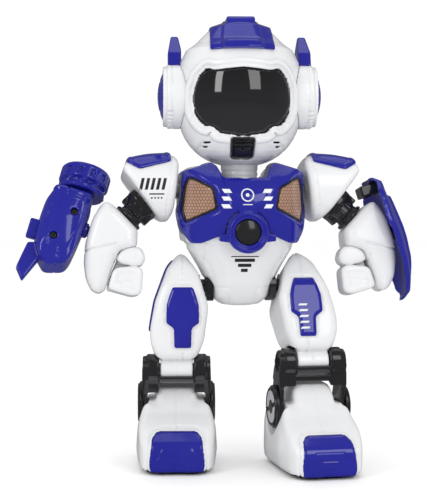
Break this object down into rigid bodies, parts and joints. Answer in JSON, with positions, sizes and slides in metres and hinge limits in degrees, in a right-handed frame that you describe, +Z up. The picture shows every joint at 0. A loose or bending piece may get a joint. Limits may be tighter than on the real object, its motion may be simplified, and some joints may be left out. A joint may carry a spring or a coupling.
{
  "type": "toy robot",
  "caption": "Standing toy robot with posable head, arms and legs, a clip-on arm cannon and shield, a chest button and driven feet.",
  "frame": {"origin": "on the floor under the centre of the overall box", "axes": "+Z up, the robot faces -Y, its own left is +X"},
  "size_m": [0.2998, 0.1297, 0.337],
  "materials": {
    "white_plastic": "glossy moulded",
    "blue_plastic": "glossy moulded",
    "black_plastic": "glossy moulded",
    "visor_lens": "polished smoked",
    "window_lens": "clear over a honeycomb reflector",
    "steel": "plated",
    "cell": "sleeved",
    "circuit_board": "solder mask",
    "grey_plastic": "moulded",
    "wheel_rubber": "moulded"
  },
  "bodies": {
    "torso": {"torso_front_shell": "white_plastic", "torso_rear_shell": "white_plastic", "chest_plate": "blue_plastic", "chest_windows": "window_lens", "button_bezel": "blue_plastic", "battery_pack": "cell", "battery_door": "white_plastic", "main_board": "circuit_board", "speaker": "grey_plastic", "rear_screws": "steel", "hip_brackets": "black_plastic", "shoulder_shafts": "steel", "charging_socket": "black_plastic"},
    "chest_button": {"chest_button": "black_plastic"},
    "power_switch": {"power_switch": "black_plastic"},
    "head": {"helmet_front": "white_plastic", "helmet_rear": "white_plastic", "visor": "visor_lens", "crown_panel": "blue_plastic", "mouth_grille": "black_plastic", "ear_cups": "white_plastic", "ear_discs": "blue_plastic", "antennas": "blue_plastic", "eye_board": "circuit_board", "neck": "white_plastic"},
    "arm_left": {"shoulder_shell_left": "white_plastic", "shoulder_cap_left": "blue_plastic", "upper_arm_left": "black_plastic"},
    "forearm_left": {"forearm_shell_left": "white_plastic", "hand_left": "white_plastic"},
    "thigh_left": {"thigh_shell_left": "white_plastic", "thigh_panels_left": "blue_plastic"},
    "shin_left": {"shin_left": "black_plastic", "knee_pin_left": "black_plastic", "ankle_discs_left": "black_plastic"},
    "foot_left": {"foot_shell_left": "white_plastic", "toe_cap_left": "blue_plastic", "sole_plate_left": "black_plastic", "foot_gearbox_left": "grey_plastic"},
    "wheel_left": {"drive_wheel_left": "wheel_rubber"},
    "arm_right": {"shoulder_shell_right": "white_plastic", "shoulder_cap_right": "blue_plastic", "upper_arm_right": "black_plastic"},
    "forearm_right": {"forearm_shell_right": "white_plastic", "hand_right": "white_plastic"},
    "thigh_right": {"thigh_shell_right": "white_plastic", "thigh_panels_right": "blue_plastic"},
    "shin_right": {"shin_right": "black_plastic", "knee_pin_right": "black_plastic", "ankle_discs_right": "black_plastic"},
    "foot_right": {"foot_shell_right": "white_plastic", "toe_cap_right": "blue_plastic", "sole_plate_right": "black_plastic", "foot_gearbox_right": "grey_plastic"},
    "wheel_right": {"drive_wheel_right": "wheel_rubber"},
    "cannon": {"cannon_body": "blue_plastic", "cannon_muzzle": "blue_plastic"},
    "cannon_trigger": {"cannon_trigger": "blue_plastic"},
    "shield": {"shield_plate": "blue_plastic", "shield_bracket": "black_plastic"}
  },
  "joints": [
    {"name": "head_turn", "type": "hinge", "parent": "torso", "child": "head", "pos_m": [0.0186, 0.0185, 0.22], "axis": [0, 0, 1], "range_deg": [-41, 49]},
    {"name": "chest_button_press", "type": "slide", "parent": "torso", "child": "chest_button", "axis": [0, 1, 0], "range_m": [0, 0.0015], "stiffness_N_per_m": 400, "springref_m": -0.001},
    {"name": "power_switch_slide", "type": "slide", "parent": "torso", "child": "power_switch", "axis": [1, 0, 0], "range_m": [0, 0.006]},
    {"name": "shoulder_left", "type": "hinge", "parent": "torso", "child": "arm_left", "pos_m": [0.0186, 0.0185, 0.207], "axis": [1, 0, 0], "range_deg": [-100, 45]},
    {"name": "forearm_twist_left", "type": "hinge", "parent": "arm_left", "child": "forearm_left", "pos_m": [0.1041, 0.01548, 0.18551], "axis": [-0.7314, 0.0949, 0.6754], "range_deg": [-25, 25]},
    {"name": "shield_turn", "type": "hinge", "parent": "forearm_left", "child": "shield", "pos_m": [0.1329, 0.01419, 0.1763], "axis": [0.9598, 0.0391, 0.2779], "range_deg": [-30, 30]},
    {"name": "shoulder_right", "type": "hinge", "parent": "torso", "child": "arm_right", "pos_m": [0.0186, 0.0185, 0.207], "axis": [1, 0, 0], "range_deg": [-100, 45]},
    {"name": "forearm_twist_right", "type": "hinge", "parent": "arm_right", "child": "forearm_right", "pos_m": [-0.0669, 0.01548, 0.18551], "axis": [0.7314, 0.0949, 0.6754], "range_deg": [-25, 25]},
    {"name": "cannon_turn", "type": "hinge", "parent": "forearm_right", "child": "cannon", "pos_m": [-0.0957, 0.01419, 0.1763], "axis": [-0.9598, 0.0391, 0.2779], "range_deg": [-25, 25]},
    {"name": "cannon_trigger_press", "type": "slide", "parent": "cannon", "child": "cannon_trigger", "axis": [0.9598, -0.0391, -0.2779], "range_m": [0, 0.002], "stiffness_N_per_m": 300, "springref_m": -0.001},
    {"name": "hip_left", "type": "hinge", "parent": "torso", "child": "thigh_left", "pos_m": [0.0666, 0.0185, 0.135], "axis": [0.9962, 0.0872, 0], "range_deg": [-17, 42]},
    {"name": "knee_left", "type": "hinge", "parent": "thigh_left", "child": "shin_left", "pos_m": [0.06897, -0.00858, 0.07927], "axis": [0.9962, 0.0872, 0], "range_deg": [-32, 14]},
    {"name": "ankle_left", "type": "hinge", "parent": "shin_left", "child": "foot_left", "pos_m": [0.06835, -0.00152, 0.045], "axis": [0.9962, 0.0872, 0], "range_deg": [-12, 12]},
    {"name": "wheel_spin_left", "type": "hinge", "parent": "foot_left", "child": "wheel_left", "pos_m": [0.06731, 0.01044, 0.0085], "axis": [0.9962, 0.0872, 0], "continuous": true},
    {"name": "hip_right", "type": "hinge", "parent": "torso", "child": "thigh_right", "pos_m": [-0.0294, 0.0185, 0.135], "axis": [0.9962, -0.0872, 0], "range_deg": [-33, 28]},
    {"name": "knee_right", "type": "hinge", "parent": "thigh_right", "child": "shin_right", "pos_m": [-0.03029, 0.00831, 0.07385], "axis": [0.9962, -0.0872, 0], "range_deg": [-38, 8]},
    {"name": "ankle_right", "type": "hinge", "parent": "shin_right", "child": "foot_right", "pos_m": [-0.02857, 0.02805, 0.045], "axis": [0.9962, -0.0872, 0], "range_deg": [-12, 12]},
    {"name": "wheel_spin_right", "type": "hinge", "parent": "foot_right", "child": "wheel_right", "pos_m": [-0.02752, 0.04, 0.0085], "axis": [0.9962, -0.0872, 0], "continuous": true}
  ]
}
